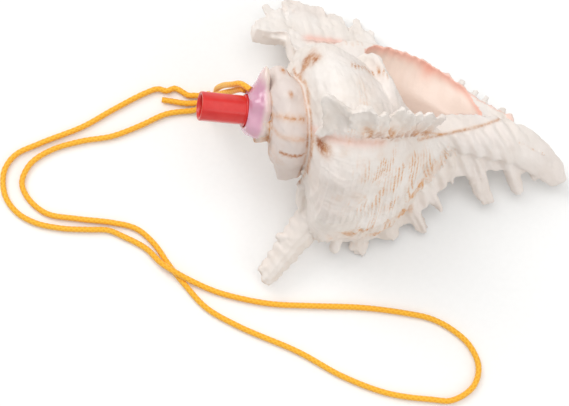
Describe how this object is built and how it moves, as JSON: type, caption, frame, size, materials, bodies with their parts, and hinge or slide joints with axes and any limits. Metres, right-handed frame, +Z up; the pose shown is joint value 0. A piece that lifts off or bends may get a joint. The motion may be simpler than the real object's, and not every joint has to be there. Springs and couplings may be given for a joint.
{
  "type": "murex shell horn",
  "caption": "Branched murex shell lying on its fronds, its sawn spire fitted with a red plastic mouthpiece set in lilac putty, with a braided yellow neck cord.",
  "frame": {"origin": "on the surface the shell lies on, under the middle of the box of the shell, mouthpiece and collar", "axes": "+X from the mouthpiece to the shell's canal, +Y away from the near fronds towards the shell's mouth, +Z up"},
  "size_m": [0.3562, 0.259, 0.1471],
  "materials": {
    "shell": "worn white shell with tan stains and a cream and pink mouth",
    "mouthpiece": "moulded red plastic",
    "putty": "smooth glossy lilac putty",
    "cord": "braided yellow cord"
  },
  "bodies": {
    "root": {"shell": "shell", "mouthpiece": "mouthpiece", "collar": "putty", "cord_leg_right": "cord", "cord_leg_left": "cord", "cord_loop": "cord", "knot": "cord"}
  },
  "joints": []
}
